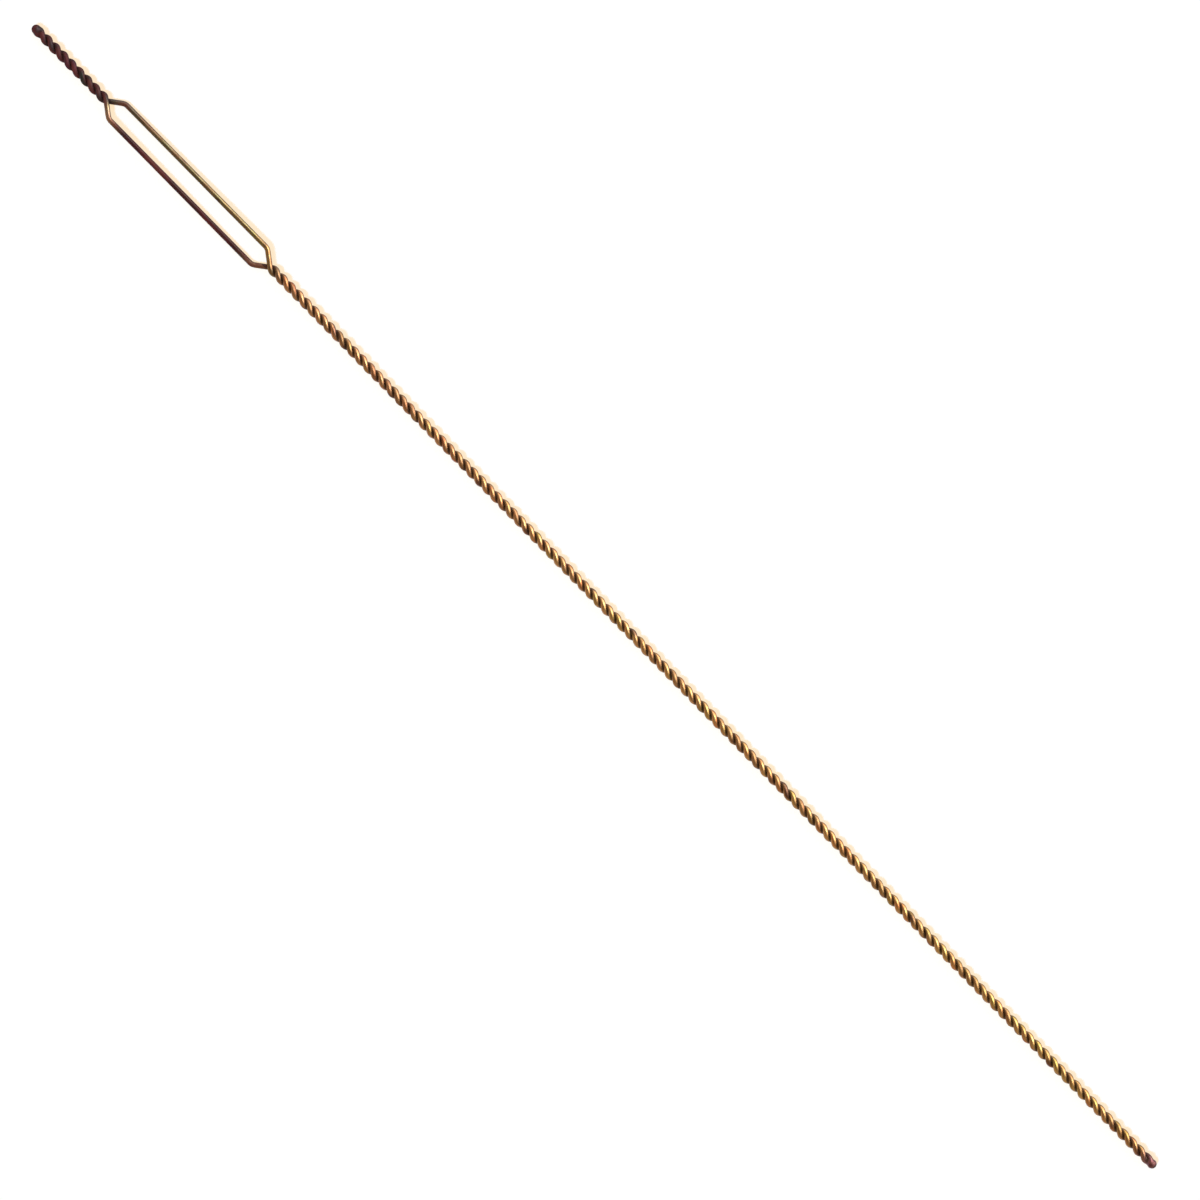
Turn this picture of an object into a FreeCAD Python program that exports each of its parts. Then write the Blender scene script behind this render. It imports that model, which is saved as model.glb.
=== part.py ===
import FreeCAD, Part
import math
import os

# Inoculating loop: two brass wires twisted together, opened into a long eye near the working tip.
# Millimetres. It lies flat on Z = 0, with X along the tool and +X towards the working tip.

# driving dimensions
wire_diameter = 0.75
wire_sides = 6  # the round wire is drawn as a regular prism inside its circle, to keep the twist light
overall_length = 220.0
tail_length = 14.4  # tip to front crossing
eye_length = 32.1  # front crossing to rear crossing
eye_width = 3.1  # between the centre lines of the eye's two sides
twist_pitch = 3.11  # one full right-hand turn
runs_per_turn = 8  # straight runs that stand for one turn of the twist
bend_radius = 1.3  # on the wire's centre line, at each corner of the eye
bead_radius = 0.76
bead_seat_radius = 0.7  # flat back of each fused bead, against the wires' square ends

# worked out from them
wire_radius = wire_diameter / 2
run_length = twist_pitch / runs_per_turn  # along the tool
run_angle = 2 * math.pi / runs_per_turn
corner_radius = wire_radius / math.cos(run_angle / 2)  # the two wires touch in the middle of each run
lay_slope = 2 * wire_radius * math.tan(run_angle / 2) / run_length
throat_length = eye_width / 2 / lay_slope  # the wires keep the slope of the twist as they part
bead_depth = bead_radius + math.sqrt(bead_radius**2 - bead_seat_radius**2)
tip_x = overall_length / 2
butt_x = -overall_length / 2
front_x = tip_x - tail_length
rear_x = front_x - eye_length

along_tool = FreeCAD.Vector(1, 0, 0)
upwards = FreeCAD.Vector(0, 0, 1)
mitred = 1
smooth = 0


def wire_along(path, corners):
    """Wire swept along a path, with a flat of its section facing up at the start."""
    start = path.Edges[0]
    circle = Part.Circle(start.firstVertex().Point, start.tangentAt(0), wire_radius)
    circle.XAxis = upwards
    step = 2 * math.pi / wire_sides
    points = [circle.value((i + 0.5) * step) for i in range(wire_sides)]
    profile = Part.makePolygon(points + points[:1])
    return path.makePipeShell([profile], True, False, corners)


def twisted_wire(crossing_x, end_x, above):
    """One wire of the twist, from a crossing of the eye outwards, cut square where its bead begins."""
    outwards = math.copysign(1, end_x - crossing_x)
    level = 1 if above else -1
    points = [FreeCAD.Vector(crossing_x, 0, level * wire_radius)]
    runs = math.ceil(abs(end_x - crossing_x) / run_length) + 1
    for i in range(runs):
        turned = (i + 0.5) * outwards
        angle = turned * run_angle
        across = -level * corner_radius * math.sin(angle)
        height = level * corner_radius * math.cos(angle)
        points.append(FreeCAD.Vector(crossing_x + turned * run_length, across, height))
    size = 4 * bead_radius
    waste = Part.makeBox(size, size, size, FreeCAD.Vector(0, -size / 2, -size / 2))
    waste.translate(along_tool * (end_x if outwards > 0 else end_x - size))
    return wire_along(Part.makePolygon(points), mitred).cut(waste)


def rounded_path(corners, radius):
    """Straight runs through the corners, joined by tangent arcs of one radius."""
    edges = []
    start = corners[0]
    for before, corner, after in zip(corners, corners[1:], corners[2:]):
        arriving = (corner - before).normalize()
        leaving = (after - corner).normalize()
        half_turn = arriving.getAngle(leaving) / 2
        setback = radius * math.tan(half_turn)
        arc_start = corner - arriving * setback
        arc_end = corner + leaving * setback
        inwards = (leaving - arriving).normalize()
        arc_middle = corner + inwards * radius * (1 / math.cos(half_turn) - 1)
        edges.append(Part.LineSegment(start, arc_start).toShape())
        edges.append(Part.Arc(arc_start, arc_middle, arc_end).toShape())
        start = arc_end
    edges.append(Part.LineSegment(start, corners[-1]).toShape())
    return Part.Wire(edges)


def eye_side():
    """Side of the eye that passes over at the rear crossing and under at the front one."""
    side = -eye_width / 2
    corners = [
        FreeCAD.Vector(rear_x, 0, wire_radius),
        FreeCAD.Vector(rear_x + throat_length, side, wire_radius),
        FreeCAD.Vector(front_x - throat_length, side, -wire_radius),
        FreeCAD.Vector(front_x, 0, -wire_radius),
    ]
    return wire_along(rounded_path(corners, bend_radius), smooth)


def end_bead(end_x):
    """Fused bead that closes an end of the twist: a ball cut flat where the wires stop."""
    outwards = math.copysign(1, end_x)
    ball = Part.makeSphere(bead_radius, FreeCAD.Vector(), along_tool)
    size = 4 * bead_radius
    waste = Part.makeBox(size, size, size, FreeCAD.Vector(-size, -size / 2, -size / 2))
    waste.translate(along_tool * (bead_radius - bead_depth))
    bead = ball.cut(waste)
    if outwards < 0:
        bead.rotate(FreeCAD.Vector(), upwards, 180)
    bead.translate(along_tool * (end_x - outwards * bead_radius))
    return bead


def other_wire(shape):
    """The same stretch of the other wire, half a turn round the tool."""
    partner = shape.copy()
    partner.rotate(FreeCAD.Vector(), along_tool, 180)
    return partner


def build():
    """All nodes by name, with the tool's axis on the X axis."""
    shaft = twisted_wire(rear_x, butt_x + bead_depth, above=True)
    eye = eye_side()
    tail = twisted_wire(front_x, tip_x - bead_depth, above=False)
    return {
        "wire_a_shaft": shaft,
        "wire_a_eye": eye,
        "wire_a_tail": tail,
        "wire_b_shaft": other_wire(shaft),
        "wire_b_eye": other_wire(eye),
        "wire_b_tail": other_wire(tail),
        "tip_bead": end_bead(tip_x),
        "butt_bead": end_bead(butt_x),
    }


os.makedirs("parts", exist_ok=True)
for name, shape in build().items():
    shape.translate(upwards * bead_radius)
    shape.exportStep("parts/" + name + ".step")
    print(name, round(shape.Volume, 3), shape.BoundBox)
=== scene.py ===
import math

import bpy
import numpy as np
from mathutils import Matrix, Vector


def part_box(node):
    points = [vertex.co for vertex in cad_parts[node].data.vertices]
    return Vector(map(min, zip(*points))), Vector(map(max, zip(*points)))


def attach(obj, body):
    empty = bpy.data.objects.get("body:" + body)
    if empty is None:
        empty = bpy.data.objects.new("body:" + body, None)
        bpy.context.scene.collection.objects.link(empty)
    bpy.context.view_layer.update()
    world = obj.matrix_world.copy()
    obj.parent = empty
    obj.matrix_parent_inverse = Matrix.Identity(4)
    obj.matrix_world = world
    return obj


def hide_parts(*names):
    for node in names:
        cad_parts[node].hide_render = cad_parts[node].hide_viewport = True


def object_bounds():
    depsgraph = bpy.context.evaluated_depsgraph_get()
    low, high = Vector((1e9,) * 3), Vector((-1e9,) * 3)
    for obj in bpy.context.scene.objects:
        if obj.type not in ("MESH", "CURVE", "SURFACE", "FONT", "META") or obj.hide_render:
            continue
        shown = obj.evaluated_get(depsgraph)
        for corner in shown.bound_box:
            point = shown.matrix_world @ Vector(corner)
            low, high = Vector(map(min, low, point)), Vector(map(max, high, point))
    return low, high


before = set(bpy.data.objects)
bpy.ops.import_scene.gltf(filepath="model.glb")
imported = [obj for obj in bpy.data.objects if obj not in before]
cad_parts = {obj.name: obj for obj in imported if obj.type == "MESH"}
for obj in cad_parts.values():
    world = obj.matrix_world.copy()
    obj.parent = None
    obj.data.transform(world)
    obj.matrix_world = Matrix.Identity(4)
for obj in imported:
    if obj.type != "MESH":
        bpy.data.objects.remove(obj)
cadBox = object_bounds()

# Inoculating loop: two twisted brass wires that open into a long eye near the blackened tip.
# Everything is in metres, with X along the tool and +X towards the tip.

mm = 0.001


def meetingPlace(behind, ahead):
    # two stretches of a wire meet halfway between the end of one and the start of the next
    return (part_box(behind)[1].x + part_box(ahead)[0].x) / 2


place = {
    "buttX": cadBox[0].x,
    "tipX": cadBox[1].x,
    "axisHeight": (cadBox[0].z + cadBox[1].z) / 2,
    "rearX": meetingPlace("wire_a_shaft", "wire_a_eye"),
    "frontX": meetingPlace("wire_a_eye", "wire_a_tail"),
}
print("frame read", {key: round(value / mm, 3) for key, value in place.items()}, "mm")

twist = {
    "wireRadius": 0.375 * mm,
    "lineRadius": 0.371 * mm,  # of the helix that each wire's centre follows: the wires press together
    "pitch": 3.11 * mm,  # one full right-hand turn
    "pinchLength": 2.3 * mm,  # from each end of the tool, over which the wires draw together
    "pinch": 0.5,  # by this share at the very end
}
twist["slope"] = 2 * math.pi * twist["lineRadius"] / twist["pitch"]

eye = {
    "halfWidth": 1.55 * mm,  # from the tool's axis to the centre of a side
    "bendLength": 0.8 * mm,  # over which each corner is bent
    "bendSamples": 33,
}


def twistAngle(x):
    # how far wire A has turned round the axis, from straight up: nothing at the rear crossing,
    # then one turn a pitch on either side of the eye, with half a turn between the crossings
    turn = 2 * math.pi / twist["pitch"]
    beyond = np.where(x > place["frontX"], x - place["frontX"], 0.0)
    before = np.where(x < place["rearX"], x - place["rearX"], 0.0)
    return turn * (beyond + before) + np.where(x > place["frontX"], math.pi, 0.0)


def eyeSide(x):
    # sideways place and height over the axis of wire A's side of the eye: it leaves each crossing
    # with the slope of the twist until it is out at its full width. The line is averaged over a
    # short length, so that its corners bend. Its outer points lie past the crossings, so that it
    # is still straight as it crosses
    rear, front = place["rearX"], place["frontX"]
    throat = eye["halfWidth"] / twist["slope"]
    cornerX = [rear - throat, rear + throat, front - throat, front + throat]
    cornerY = [eye["halfWidth"], -eye["halfWidth"], -eye["halfWidth"], eye["halfWidth"]]
    cornerZ = [twist["lineRadius"]] * 2 + [-twist["lineRadius"]] * 2
    near = np.linspace(-0.5, 0.5, eye["bendSamples"]) * eye["bendLength"]
    samples = x[:, None] + near
    return np.interp(samples, cornerX, cornerY).mean(1), np.interp(samples, cornerX, cornerZ).mean(1)


def wireLine(x, partner):
    # centre line of a wire: a helix on either side of the eye, drawn in near the fused ends, and
    # the eye's side between them. The partner wire is the same line, half a turn round the axis
    angle = twistAngle(x)
    fromEnd = np.minimum(x - place["buttX"], place["tipX"] - x)
    near = np.clip(1 - fromEnd / twist["pinchLength"], 0, 1)
    radius = twist["lineRadius"] * (1 - twist["pinch"] * near * near * (3 - 2 * near))
    sideY, sideZ = eyeSide(x)
    inEye = (x >= place["rearX"]) & (x <= place["frontX"])
    y = np.where(inEye, sideY, -radius * np.sin(angle))
    z = np.where(inEye, sideZ, radius * np.cos(angle))
    sign = -1 if partner else 1
    return np.stack([x, sign * y, sign * z + place["axisHeight"]], 1)


def crossSections(line):
    # two unit directions square to the line at each of its points: one level, one upwards
    along = np.gradient(line, axis=0)
    along /= np.linalg.norm(along, axis=1, keepdims=True)
    level = np.cross([0.0, 0.0, 1.0], along)
    level /= np.linalg.norm(level, axis=1, keepdims=True)
    return level, np.cross(along, level)


def anglesRound(sides):
    # equal steps round a circle
    return np.arange(sides) / sides * 2 * math.pi


def gridFaces(rings, sides):
    # quads between neighbouring rings of a closed grid, then a fan of triangles over each end;
    # the two middle points of the fans come after the grid's own points
    ring = np.arange(rings - 1)[:, None] * sides
    side = np.arange(sides)[None, :]
    after = (side + 1) % sides
    corners = [ring + side, ring + after, ring + sides + after, ring + sides + side]
    quads = np.stack(corners, 2).reshape(-1, 4)
    last = (rings - 1) * sides
    centre = rings * sides
    side, after = side[0], after[0]
    startFan = np.stack([after, side, np.full(sides, centre)], 1)
    endFan = np.stack([last + side, last + after, np.full(sides, centre + 1)], 1)
    return quads, np.concatenate([startFan, endFan])


unrolling = {
    "rowMargin": 0.02,  # share of a row's height left free below and above its faces
    "fanStrip": 0.02,  # share of the map's height kept for the end fans
    "fanBase": 0.9,  # from the top of the map to the triangles' base, in strips
    "fanHeight": 0.8,  # of a triangle, in strips
    # the last two are in units of the map's width divided by the number of sides
    "fanWidth": 0.45,  # of a triangle: at 0.5 it would touch the next
    "fanPeak": 0.2,  # from a triangle's left corner to its point
}


def rolledMap(rings, sides, rows):
    # unrolls the grid on to a square: its length is folded into rows, one above another,
    # and the way round runs up each row; the end fans take a thin strip on top
    margin, strip = unrolling["rowMargin"], unrolling["fanStrip"]
    rowHeight = (1 - strip) / rows
    filled = 1 - 2 * margin
    perRow = math.ceil((rings - 1) / rows)
    step = np.arange(rings - 1)
    row, column = step // perRow, step % perRow
    left = (column / perRow)[:, None] + np.zeros((1, sides))
    low = row[:, None] * rowHeight + (margin + filled * np.arange(sides) / sides)[None, :] * rowHeight
    wide, high = 1 / perRow, filled * rowHeight / sides
    corners = [(left, low), (left, low + high), (left + wide, low + high), (left + wide, low)]
    quads = np.stack([np.stack(corner, 2) for corner in corners], 2).reshape(-1, 2)
    slot = np.arange(2 * sides) / (2 * sides)
    base = np.full(2 * sides, 1 - strip * unrolling["fanBase"])
    fans = np.stack([
        np.stack([slot, base], 1),
        np.stack([slot + unrolling["fanWidth"] / sides, base], 1),
        np.stack([slot + unrolling["fanPeak"] / sides, base + strip * unrolling["fanHeight"]], 1),
    ], 1).reshape(-1, 2)
    return np.concatenate([quads, fans])


def closedSurface(name, grid, straight, centres, rows):
    # grid is rings x sides x 3, with a middle point for each end; straight holds the same points
    # in millimetres as if the wire were pulled straight, for the finish to follow
    rings, sides = grid.shape[:2]
    points = np.concatenate([grid.reshape(-1, 3), centres])
    quads, fans = gridFaces(rings, sides)
    mesh = bpy.data.meshes.new(name)
    mesh.from_pydata(points.tolist(), [], quads.tolist() + fans.tolist())
    mesh.polygons.foreach_set("use_smooth", np.arange(len(mesh.polygons)) < len(quads))
    # the edges of the two end circles are sharp
    ends = np.empty(2 * len(mesh.edges), dtype=np.int32)
    mesh.edges.foreach_get("vertices", ends)
    ringOf = ends.reshape(-1, 2) // sides
    within = ringOf[:, 0] == ringOf[:, 1]
    mesh.edges.foreach_set("use_edge_sharp", within & np.isin(ringOf[:, 0], (0, rings - 1)))
    pulled = mesh.attributes.new("pulledStraight", "FLOAT_VECTOR", "POINT")
    straightPoints = np.concatenate([straight.reshape(-1, 3), straight[[0, -1]].mean(1)])
    pulled.data.foreach_set("vector", straightPoints.astype(np.float32).ravel())
    layer = mesh.uv_layers.new(name="OFBake")
    layer.uv.foreach_set("vector", rolledMap(rings, sides, rows).astype(np.float32).ravel())
    mesh.validate()
    mesh.update()
    piece = bpy.data.objects.new(name, mesh)
    bpy.context.scene.collection.objects.link(piece)
    return piece


wireLook = {
    "sides": 24,
    "ringGap": 0.065 * mm,
    "fewestSteps": 8,  # from ring to ring
    "patternOffset": 37.0,  # millimetres of texture between the two wires
}


def wireTube(name, startX, endX, partner):
    # a circle carried along the wire's centre line
    radius = twist["wireRadius"]
    rings = max(wireLook["fewestSteps"], round((endX - startX) / wireLook["ringGap"])) + 1
    x, step = np.linspace(startX, endX, rings, retstep=True)
    # the line is followed one step past both ends, so that neighbouring stretches end in the same circle
    line = wireLine(np.concatenate([[startX - step], x, [endX + step]]), partner)
    level, upright = (directions[1:-1] for directions in crossSections(line))
    line = line[1:-1]
    around = anglesRound(wireLook["sides"])
    circle = np.stack([np.cos(around), np.sin(around)])
    spokes = level[:, None] * circle[0][:, None] + upright[:, None] * circle[1][:, None]
    grid = line[:, None] + radius * spokes
    # pulled straight: the place round the wire, and the distance along it from the butt
    straight = np.empty(grid.shape)
    straight[..., 0] = radius * circle[0]
    straight[..., 1] = radius * circle[1]
    straight[..., 2] = ((x - place["buttX"]) * math.hypot(1, twist["slope"]))[:, None]
    straight = straight / mm + [wireLook["patternOffset"] if partner else 0.0, 0, 0]
    # folded into as many rows as are about square together
    rows = max(1, round(math.sqrt((endX - startX) / (2 * math.pi * radius))))
    return closedSurface(name, grid, straight, line[[0, -1]], rows)


beadLook = {
    "radius": 0.75 * mm,
    "length": 2.3 * mm,
    "wireEnd": 1.05 * mm,  # from the bead's crown to the wires' ends inside it
    "rings": 48,
    "sides": 56,
    "shoulder": 0.55,  # share of the length where the dome starts
    "bluntness": 2.2,
    "baseSize": 0.93,  # share of the radius at the base
    "swellBy": 0.5,  # share of the length where it has its full radius
    "swellCurve": 0.7,
    "baseFill": 0.12,  # how far the groove between the wires is filled at the base
    "filledBy": 0.8,
    "fillCurve": 0.8,
    "lumps": 0.03,  # depth, as a share of the radius
    "lumpCount": 3,
    "lumpShift": 5,  # radians by which their wave shifts from base to crown
    "patternOffset": 80.0,  # millimetres by which the texture is moved along X
    "mapRows": 1,
}


def grownBy(start, share, by, curve):
    # rises from a starting level to 1, by a power of the share of the length that is done
    return start + (1 - start) * np.clip(share / by, 0, 1) ** curve


def beadRound(name, endX):
    # fused end: at its base the outline of two round wires side by side, which fills out into one
    # circle while a blunt dome closes it; it keeps turning with the twist
    look = beadLook
    outwards = math.copysign(1, endX)
    baseX = endX - outwards * look["length"]
    share = np.sin(np.linspace(0, math.pi / 2, look["rings"] + 1)[:-1])
    x = baseX + (endX - baseX) * share
    past = np.clip((share - look["shoulder"]) / (1 - look["shoulder"]), 0, 1)
    dome = (1 - past ** look["bluntness"]) ** (1 / look["bluntness"])
    swell = grownBy(look["baseSize"], share, look["swellBy"], look["swellCurve"])
    fill = grownBy(look["baseFill"], share, look["filledBy"], look["fillCurve"])
    around = anglesRound(look["sides"])
    fromWires = around[None, :] - twistAngle(x)[:, None]
    outline = np.sqrt(np.cos(fromWires) ** 2 + (fill[:, None] * np.sin(fromWires)) ** 2)
    lobes = np.sin(look["lumpCount"] * around[None, :] + look["lumpShift"] * share[:, None])
    lumps = 1 - look["lumps"] * (1 + lobes) / 2
    radius = (look["radius"] * dome * swell)[:, None] * outline * lumps
    grid = np.stack([
        np.broadcast_to(x[:, None], radius.shape),
        -radius * np.sin(around),
        place["axisHeight"] + radius * np.cos(around),
    ], 2)
    if outwards < 0:
        grid = grid[:, ::-1]  # so that its faces still point outwards
    centres = np.array([[baseX, 0, place["axisHeight"]], [endX, 0, place["axisHeight"]]])
    # a bead has nothing to pull straight: its pattern follows its own shape
    straight = grid / mm + [look["patternOffset"], 0, 0]
    return closedSurface(name, grid, straight, centres, look["mapRows"])


class Value:
    # a shader socket that takes part in sums
    def __init__(self, finish, socket):
        self.finish = finish
        self.socket = socket

    def reckon(self, operation, first, second):
        # one Math node
        return self.finish.node("ShaderNodeMath", {"operation": operation}, {0: first, 1: second})

    def __add__(self, other):
        return self.reckon("ADD", self, other)

    def __radd__(self, other):
        return self.reckon("ADD", other, self)

    def __sub__(self, other):
        return self.reckon("SUBTRACT", self, other)

    def __rsub__(self, other):
        return self.reckon("SUBTRACT", other, self)

    def __mul__(self, other):
        return self.reckon("MULTIPLY", self, other)

    def __rmul__(self, other):
        return self.reckon("MULTIPLY", other, self)

    def __pow__(self, other):
        return self.reckon("POWER", self, other)


class Finish:
    # builds one material's or world's nodes
    def __init__(self, owner):
        owner.use_nodes = True
        self.tree = owner.node_tree
        self.tree.nodes.clear()

    def node(self, kind, settings=None, inputs=None, output=0):
        # a node of any kind: its settings first, then the values or links of its sockets
        made = self.tree.nodes.new(kind)
        for key, setting in (settings or {}).items():
            if key == "stops":
                self.setStops(made.color_ramp, setting)
            else:
                setattr(made, key, setting)
        for key, given in (inputs or {}).items():
            if isinstance(given, Value):
                self.tree.links.new(given.socket, made.inputs[key])
            else:
                made.inputs[key].default_value = given
        return Value(self, made.outputs[output]) if made.outputs else None

    def setStops(self, ramp, stops):
        # a ramp starts with two stops, and the rest are added
        while len(ramp.elements) < len(stops):
            ramp.elements.new(0.5)
        for element, (position, colour) in zip(ramp.elements, stops):
            element.position = position
            element.color = colour

    def coordinate(self, vector, axis):
        # one of the three numbers of a vector
        return self.node("ShaderNodeSeparateXYZ", {}, {0: vector}, axis)

    def ray(self, kind):
        # 1 for rays of one kind, 0 for the others
        return self.node("ShaderNodeLightPath", {}, {}, kind)

    def between(self, value, low, high):
        # smooth step from 0 at low to 1 at high
        settings = {"interpolation_type": "SMOOTHSTEP"}
        return self.node("ShaderNodeMapRange", settings, {0: value, 1: low, 2: high})

    def blend(self, share, first, second, way="MIX"):
        # colours mixed by a share
        settings = {"data_type": "RGBA", "blend_type": way}
        return self.node("ShaderNodeMix", settings, {0: share, 6: first, 7: second}, 2)

    def noise(self, vector, pattern):
        # noise whose features have a size of their own each way
        sized = self.node("ShaderNodeVectorMath", {"operation": "MULTIPLY"}, {0: vector, 1: pattern["perMm"]})
        return self.node("ShaderNodeTexNoise", {}, {
            "Vector": sized,
            "Scale": 1.0,
            "Detail": pattern["detail"],
            "Roughness": pattern["roughness"],
        })

    def alongTool(self, x, stops):
        # a colour for each place along the tool, given in metres
        start, end = place["buttX"], place["tipX"]
        share = self.node("ShaderNodeMapRange", {}, {0: x, 1: start, 2: end})
        rampStops = [((stopX - start) / (end - start), colour) for stopX, colour in stops]
        return self.node("ShaderNodeValToRGB", {"stops": rampStops}, {0: share})


def paint(red, green, blue):
    # a colour from 0 to 255 as the linear numbers a shader takes
    share = np.array([red, green, blue]) / 255
    linear = np.where(share <= 0.04045, share / 12.92, ((share + 0.055) / 1.055) ** 2.4)
    return (*(float(c) for c in linear), 1.0)


def grey(level):
    # the same linear number for red, green and blue
    return (level, level, level, 1.0)


# places along the tool where the finish changes
heat = {
    "butt": place["buttX"],
    "fusedBy": place["buttX"] + 1.7 * mm,
    "warmedBy": place["buttX"] + 3.6 * mm,
    "middle": 0.0,
    "rear": place["rearX"],
    "front": place["frontX"],
    "tip": place["tipX"],
}

# the metal's colour: both wires are alike in the tail and in the shaft, until near the eye, where painted
# light and shade join it
shaftMetal = [
    (heat["butt"], paint(150, 92, 112)),
    (heat["fusedBy"], paint(124, 74, 78)),
    (heat["warmedBy"], paint(176, 120, 66)),
    (heat["warmedBy"] + 12 * mm, paint(204, 156, 88)),
    (heat["middle"], paint(202, 150, 92)),
    (heat["rear"] - 24 * mm, paint(190, 134, 88)),
]
# wire A's side of the eye: the dark stop just behind the rear crossing is painted shade where the wires cross
eyeMetalAndShadeA = [
    (heat["rear"] - 3.5 * mm, paint(188, 132, 86)),
    (heat["rear"] - 0.8 * mm, paint(128, 98, 66)),
    (heat["rear"] + 2 * mm, paint(176, 144, 88)),
    (heat["rear"] + 5 * mm, paint(120, 106, 64)),
    (heat["front"] - 10 * mm, paint(102, 96, 66)),
    (heat["front"] - 2 * mm, paint(90, 74, 58)),
]
# wire B's side: the same painted shade behind the rear crossing, a dark maroon heat stain along the middle,
# and a painted highlight in the pale stop on the slope into the front crossing
eyeMetalShadeAndLightB = [
    (heat["rear"] - 3.5 * mm, paint(182, 130, 86)),
    (heat["rear"] - 0.8 * mm, paint(124, 94, 66)),
    (heat["rear"] + 2 * mm, paint(140, 108, 76)),
    (heat["rear"] + 5 * mm, paint(78, 10, 10)),
    (heat["front"] - 5 * mm, paint(74, 8, 16)),
    (heat["front"] - 1.5 * mm, paint(170, 136, 108)),
]
tailMetal = [
    (heat["front"] + 0.2 * mm, paint(54, 52, 52)),
    (heat["tip"] - 9.2 * mm, paint(48, 48, 50)),
    (heat["tip"] - 8.4 * mm, paint(98, 26, 54)),
    (heat["tip"] - 6 * mm, paint(92, 30, 50)),
    (heat["tip"] - 5.2 * mm, paint(68, 46, 50)),
    (heat["tip"], paint(66, 44, 46)),
]

# how heavily it is burnt to oxide, alike in the same places
shaftOxide = [
    (heat["butt"], grey(0.4)),
    (heat["fusedBy"], grey(0.5)),
    (heat["warmedBy"], grey(0.1)),
    (heat["rear"] - 8 * mm, grey(0.08)),
]
eyeOxideA = [
    (heat["rear"], grey(0.25)),
    (heat["rear"] + 6 * mm, grey(0.35)),
    (heat["front"] - 8 * mm, grey(0.4)),
    (heat["front"] - 1 * mm, grey(0.6)),
]
# its oxide thins before the front crossing, so that the painted highlight there shows
eyeOxideB = [
    (heat["rear"], grey(0.4)),
    (heat["rear"] + 4 * mm, grey(0.85)),
    (heat["front"] - 4 * mm, grey(0.85)),
    (heat["front"] - 1 * mm, grey(0.3)),
]
tailOxide = [
    (heat["front"] + 0.3 * mm, grey(0.95)),
    (heat["tip"], grey(1.0)),
]

wireA = {"metal": shaftMetal + eyeMetalAndShadeA + tailMetal, "oxide": shaftOxide + eyeOxideA + tailOxide}
wireB = {"metal": shaftMetal + eyeMetalShadeAndLightB + tailMetal, "oxide": shaftOxide + eyeOxideB + tailOxide}

# noise on the wire pulled straight: its steps in a millimetre, two ways across the wire and along it
patterns = {
    "drawLines": {"perMm": (9.0, 9.0, 0.18), "detail": 3.0, "roughness": 0.6},  # left by the drawing die
    "blotches": {"perMm": (0.9, 0.9, 0.3), "detail": 3.0, "roughness": 0.55},  # a few millimetres long
    "hues": {"perMm": (0.7, 0.7, 0.34), "detail": 2.0, "roughness": 0.5},
    "specks": {"perMm": (5.5, 5.5, 5.5), "detail": 2.0, "roughness": 0.5},
    "stains": {"perMm": (0.5, 0.5, 0.33), "detail": 1.0, "roughness": 0.5},
    "grain": {"perMm": (22.0, 22.0, 22.0), "detail": 3.0, "roughness": 0.6},
}

# marks on the metal: the two values between which each one sets in, and the most of the metal
# that it covers, which is all of it where no share is given
marks = {
    "coppery": {"edges": (0.52, 0.7), "colour": paint(255, 206, 176)},
    "olive": {"edges": (0.48, 0.3), "colour": paint(226, 246, 190)},
    "tarnish": {"edges": (0.44, 0.66), "share": 0.6, "colour": paint(108, 58, 32)},
    # oxide hides the bright lines: under the most oxide their share is less by the amount hidden
    "line": {"edges": (0.4, 0.75), "share": 0.3, "hidden": 0.26, "colour": paint(240, 208, 140)},
    "stain": {"edges": (0.6, 0.7), "share": 0.75, "colour": paint(70, 26, 26)},
    "speck": {"edges": (0.64, 0.74), "share": 0.6, "colour": paint(64, 34, 22)},
    # painted shade in the groove between the wires, with grime
    "grimeAndShade": {"edges": (0.25, 0.95), "share": 0.85, "colour": paint(62, 38, 20)},
    "scale": {"edges": (0.25, 0.85), "share": 0.65},
    "redScale": {"edges": (0.38, 0.6), "colours": (paint(34, 25, 28), paint(80, 28, 36))},
}

brassLook = {
    # from the tool's axis: there is neither grime nor painted shade outside the first, and both are thickest
    # inside the second
    "grooveReach": (0.68 * mm, 0.42 * mm),
    # painted shade deep in the groove between the wires, with soot and old oxide: an even part, and a part
    # that follows the blotches
    "grimeAndShade": {"even": 0.62, "blotchy": 0.9},
    # how far the noises shift the oxide either way
    "oxidePatches": {"blotches": 0.55, "specks": 0.25},
    # how much of the metal's shine each of them takes away
    "metallicLost": {"grimeAndShade": 0.5, "oxide": 0.75},
    "roughness": {"bare": 0.28, "tarnish": 0.18, "grimeAndShade": 0.22, "oxide": 0.2, "grain": 0.08},
    # how far each stands up, or how deep the pits go, in the relief's own height
    "relief": {"drawLines": 0.5, "grain": 0.25, "pits": 0.6, "scale": 0.5},
    "reliefHeight": 0.02 * mm,
    "reliefStrength": 0.35,
    "specular": 0.25,
    "coat": 0.55,  # where there is no oxide
    "coatRoughness": 0.35,
}


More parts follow.
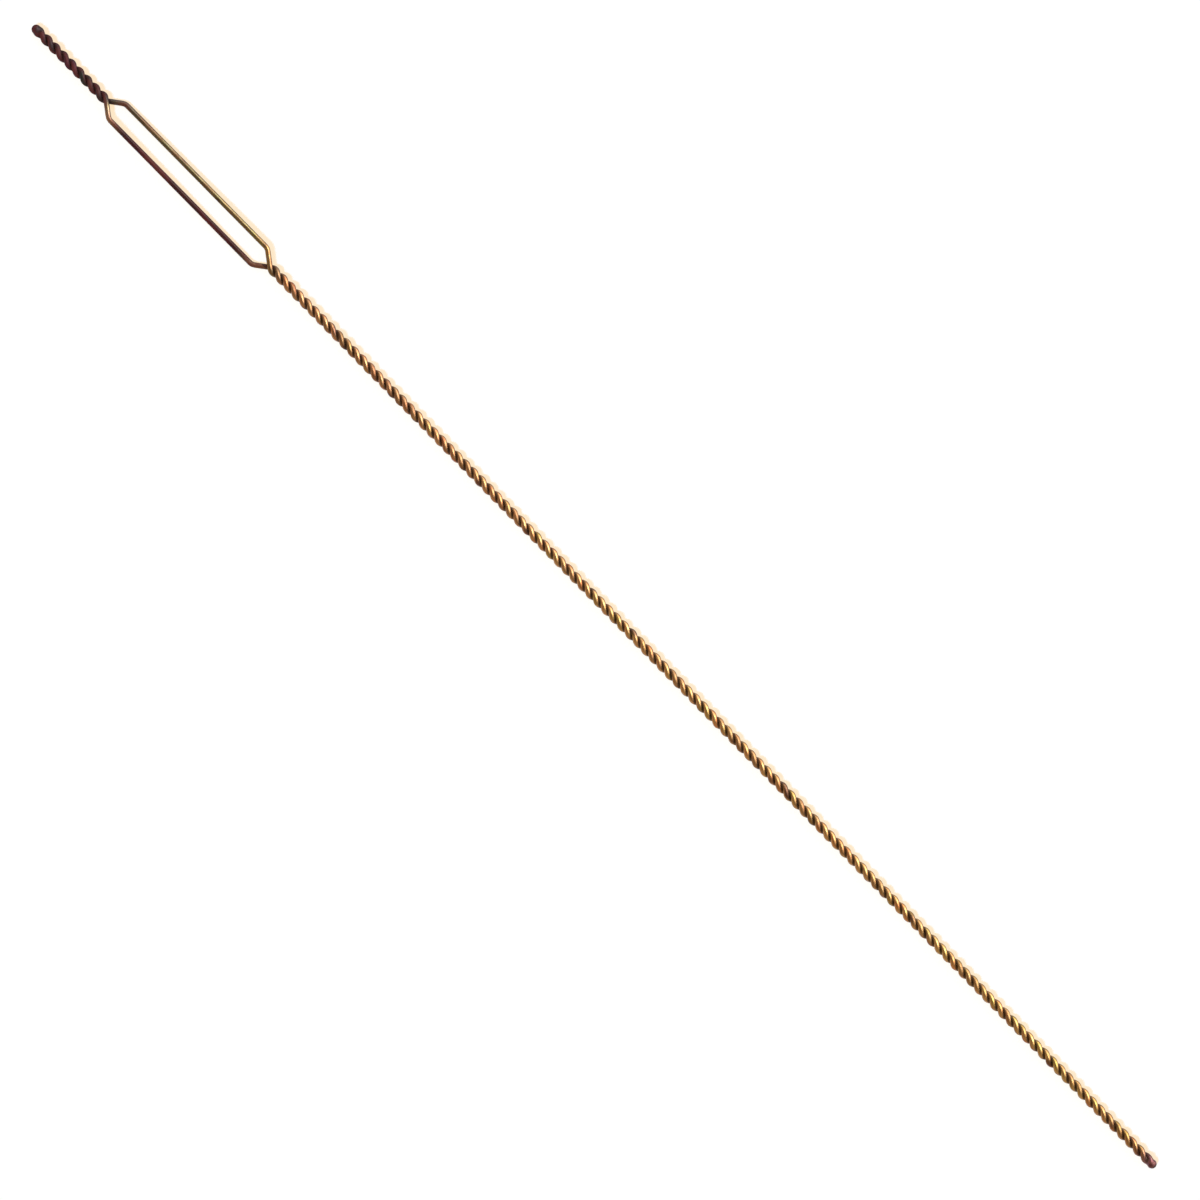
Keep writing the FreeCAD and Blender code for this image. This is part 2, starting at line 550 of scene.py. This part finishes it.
def brassFinish(name, look):
    # brass whose colour and oxide change along the tool; over it, in turn, are coppery and olive
    # places, tarnish, bright draw lines, burnt stains, specks, painted shade with grime in the groove, and
    # scale
    material = bpy.data.materials.new(name)
    finish = Finish(material)
    spot = finish.node("ShaderNodeTexCoord", {}, {}, "Object")
    x = finish.coordinate(spot, "X")
    y = finish.coordinate(spot, "Y")
    z = finish.coordinate(spot, "Z") - place["axisHeight"]
    fromAxis = (y * y + z * z) ** 0.5
    straight = finish.node("ShaderNodeAttribute", {"attribute_name": "pulledStraight"}, {}, "Vector")
    noise = {key: finish.noise(straight, pattern) for key, pattern in patterns.items()}
    blotches, specks = noise["blotches"], noise["specks"]

    def spread(mark, value):
        # where a mark shows: a smooth step between its two edges
        return finish.between(value, *marks[mark]["edges"])

    def laid(mark, where, under, way="MIX"):
        # a mark's colour over the colour under it, by its share of the places where it shows
        own = marks[mark]
        amount = where * own["share"] if "share" in own else where
        return finish.blend(amount, under, own["colour"], way)

    metal = finish.alongTool(x, look["metal"])
    oxide = finish.alongTool(x, look["oxide"])

    # 0.5 is the middle of a noise
    grimeAndShade, patches = brassLook["grimeAndShade"], brassLook["oxidePatches"]
    # the groove between the wires, where the colour is darkened: painted shade, with grime
    inGroove = finish.between(fromAxis, *brassLook["grooveReach"])
    groove = spread("grimeAndShade", inGroove * (grimeAndShade["even"] + grimeAndShade["blotchy"] * blotches))
    tarnish = spread("tarnish", blotches)
    speck = spread("speck", specks)
    patchy = oxide + patches["blotches"] * (blotches - 0.5) + patches["specks"] * (specks - 0.5)
    covered = spread("scale", patchy)

    coppery = laid("coppery", spread("coppery", noise["hues"]), metal, "MULTIPLY")
    toned = laid("olive", spread("olive", noise["hues"]), coppery, "MULTIPLY")
    worn = laid("tarnish", tarnish, toned)
    line = marks["line"]
    bright = spread("line", noise["drawLines"]) * (line["share"] - line["hidden"] * oxide)
    lined = finish.blend(bright, worn, line["colour"])
    stained = laid("stain", spread("stain", noise["stains"]), lined)
    spotted = laid("speck", speck, stained)
    # painted shade and grime in the groove
    grimedAndShaded = laid("grimeAndShade", groove, spotted)
    scale = finish.blend(spread("redScale", blotches), *marks["redScale"]["colours"])
    coated = finish.blend(covered * marks["scale"]["share"], grimedAndShaded, scale)

    lost, rough, relief = brassLook["metallicLost"], brassLook["roughness"], brassLook["relief"]
    metallic = 1.0 - lost["grimeAndShade"] * groove * (1 - covered) - lost["oxide"] * covered
    worked = rough["bare"] + rough["tarnish"] * tarnish + rough["grimeAndShade"] * groove
    roughness = worked + rough["oxide"] * covered + rough["grain"] * (noise["grain"] - 0.5)
    drawn = relief["drawLines"] * noise["drawLines"] + relief["grain"] * noise["grain"]
    height = drawn - relief["pits"] * speck + relief["scale"] * covered * specks
    bump = finish.node("ShaderNodeBump", {}, {
        "Strength": brassLook["reliefStrength"],
        "Distance": brassLook["reliefHeight"],
        "Height": height,
    })
    shader = finish.node("ShaderNodeBsdfPrincipled", {}, {
        "Base Color": coated,
        "Metallic": metallic,
        "Roughness": roughness,
        "Normal": bump,
        "Specular IOR Level": brassLook["specular"],
        "Coat Weight": brassLook["coat"] - brassLook["coat"] * covered,
        "Coat Roughness": brassLook["coatRoughness"],
    })
    finish.node("ShaderNodeOutputMaterial", {}, {"Surface": shader})
    return material


finishes = {
    "wireA": brassFinish("wireAFinish", wireA),
    "wireB": brassFinish("wireBFinish", wireB),
    "beads": brassFinish("beadFinish", wireA),
}
print("finishes made:", ", ".join(finishes))


def settle(piece, node, finish):
    # the piece stands for a node, rides with it and takes its finish
    piece.data.materials.append(finish)
    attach(piece, "root")
    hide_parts(node)


# stretch, then its slot on wire A and on wire B, then where it starts and ends
stretches = [
    ("shaft", "brass_wire", "brass_wire", place["buttX"] + beadLook["wireEnd"], place["rearX"]),
    ("eye", "warm_brass_wire", "heat_stained_wire", place["rearX"], place["frontX"]),
    ("tail", "blackened_wire", "blackened_wire", place["frontX"], place["tipX"] - beadLook["wireEnd"]),
]
for stretch, slotA, slotB, startX, endX in stretches:
    for letter, partner, slotName in (("a", False, slotA), ("b", True, slotB)):
        node = f"wire_{letter}_{stretch}"
        piece = wireTube(node + "_drawn", startX, endX, partner)
        settle(piece, node, finishes["wireB" if partner else "wireA"])
print("wires drawn")

beads = [
    ("tip_bead", "blackened_wire", place["tipX"]),
    ("butt_bead", "fused_end", place["buttX"]),
]
for node, slotName, endX in beads:
    piece = beadRound(node + "_fused", endX)
    settle(piece, node, finishes["beads"])
print("beads fused")

floorLook = {
    "size": 4.0,
    "paintedWarmGlow": (0.975, 0.727, 0.43, 1.0),  # what stays in the shade, warm: a painted warm shade beside the tool, standing in for light thrown by brass
    "colour": (0.045, 0.295, 0.605, 1.0),  # the rest, cool, so that the two are white in the open and the painted shade stays warm
    "mirrored": (0.6, 0.3, 0.06, 1.0),  # the glow as metal mirrors it, left warm in the shade: a painted warm reflection
}


def addFloor():
    # a flat square that the tool lies on, lit by the key and by a glow of its own; the glow is warm and its
    # lit colour cool, so that it is white in the open and its shadow is a painted warm shade
    half = floorLook["size"] / 2
    corners = [(-half, -half, 0), (half, -half, 0), (half, half, 0), (-half, half, 0)]
    mesh = bpy.data.meshes.new("floor")
    mesh.from_pydata(corners, [], [(0, 1, 2, 3)])
    floor = bpy.data.objects.new("floor", mesh)
    bpy.context.scene.collection.objects.link(floor)
    material = bpy.data.materials.new("paleFloor")
    finish = Finish(material)
    camera = finish.ray("Is Camera Ray")
    glossy = finish.ray("Is Glossy Ray")
    through = finish.ray("Is Transmission Ray")
    # painted warm shade: the glow stays where the key is shadowed
    paintedWarmGlow = finish.blend(glossy, floorLook["paintedWarmGlow"], floorLook["mirrored"])
    shade = finish.node("ShaderNodeBsdfDiffuse", {}, {"Color": floorLook["colour"]})
    light = finish.node("ShaderNodeEmission", {}, {"Color": paintedWarmGlow, "Strength": camera + glossy + through})
    both = finish.node("ShaderNodeAddShader", {}, {0: shade, 1: light})
    finish.node("ShaderNodeOutputMaterial", {}, {"Surface": both})
    mesh.materials.append(material)


roomLook = {
    "strength": 0.5,
    "dimmedOverhead": 0.22,
    "overhead": (0.45, 1.0),  # heights on a unit sphere between which it dims
    "warm": (1.0, 0.75, 0.5, 1.0),
    "warmSide": (-0.2, 0.7),  # Y on a unit sphere between which it warms
}


def addWorld():
    # soft light all round, darker overhead and warm on the tool's +Y side; the camera sees white
    world = bpy.data.worlds.new("studio")
    bpy.context.scene.world = world
    finish = Finish(world)
    direction = finish.node("ShaderNodeTexCoord", {}, {}, "Generated")
    camera = finish.ray("Is Camera Ray")
    overhead = finish.between(finish.coordinate(direction, "Z"), *roomLook["overhead"])
    strength = roomLook["strength"] - roomLook["dimmedOverhead"] * overhead
    shown = strength * (1 - camera) + camera
    warmth = finish.between(finish.coordinate(direction, "Y"), *roomLook["warmSide"]) * (1 - camera)
    colour = finish.blend(warmth, grey(1.0), roomLook["warm"])
    light = finish.node("ShaderNodeBackground", {}, {"Color": colour, "Strength": shown})
    finish.node("ShaderNodeOutputWorld", {}, {"Surface": light})


# white panels that the metal mirrors: position, width and height, and watts
panels = {
    "window": {"position": (0, -1.3, 0.75), "size": (4.0, 1.9), "power": 52.0},
    "softbox": {"position": (-0.15, -0.6, 0.55), "size": (0.7, 0.35), "power": 4.0},
}

keyLook = {
    "from": (0, 0.375, 0.65),
    "strength": 2.43,
    "spread": 10.7,  # degrees, which softens the shadow
}


def hangLamp(lamp, position, lights, mirrored):
    # aimed at the middle of the tool; it either lights surfaces or is mirrored in the metal
    holder = bpy.data.objects.new(lamp.name, lamp)
    holder.location = position
    holder.rotation_euler = (-Vector(position)).to_track_quat("-Z", "Y").to_euler()
    holder.visible_camera = False
    holder.visible_diffuse = lights
    holder.visible_glossy = mirrored
    bpy.context.scene.collection.objects.link(holder)


def addPanel(name, panel):
    # a rectangle of light that shows only as its reflection in the metal
    lamp = bpy.data.lights.new(name, "AREA")
    lamp.shape = "RECTANGLE"
    lamp.size, lamp.size_y = panel["size"]
    lamp.energy = panel["power"]
    hangLamp(lamp, panel["position"], False, True)


def addKey():
    # far off, so that the floor is as bright all over
    lamp = bpy.data.lights.new("key", "SUN")
    lamp.energy = keyLook["strength"]
    lamp.angle = math.radians(keyLook["spread"])
    hangLamp(lamp, keyLook["from"], True, False)


cameraLook = {
    "frameWidth": 164.94 * mm,  # seen on the level of the tool's axis
    "toolAngle": 134.52,  # degrees from the picture's right to the tip
    "centreRight": 0.81 * mm,  # the picture's centre from the tool's
    "centreDown": 0.47 * mm,
    "lens": 135.0,
    "sensor": 36.0,
    "clip": (0.01, 10.0),
}


def addCamera():
    # straight down on the tool, turned so that the tip points up and to the left
    turn = math.radians(-cameraLook["toolAngle"])
    right = Vector((math.cos(turn), math.sin(turn), 0))
    up = Vector((-math.sin(turn), math.cos(turn), 0))
    distance = cameraLook["frameWidth"] * cameraLook["lens"] / cameraLook["sensor"]
    camera = bpy.data.cameras.new("camera")
    camera.lens = cameraLook["lens"]
    camera.sensor_width = cameraLook["sensor"]
    camera.clip_start, camera.clip_end = cameraLook["clip"]
    holder = bpy.data.objects.new("camera", camera)
    holder.location = right * cameraLook["centreRight"] - up * cameraLook["centreDown"]
    holder.location.z = distance + place["axisHeight"]
    holder.rotation_euler = (0, 0, turn)
    bpy.context.scene.collection.objects.link(holder)
    bpy.context.scene.camera = holder


addFloor()
addWorld()
for name, panel in panels.items():
    addPanel(name, panel)
addKey()
addCamera()
bpy.context.scene.view_settings.view_transform = "Standard"
print("studio set")
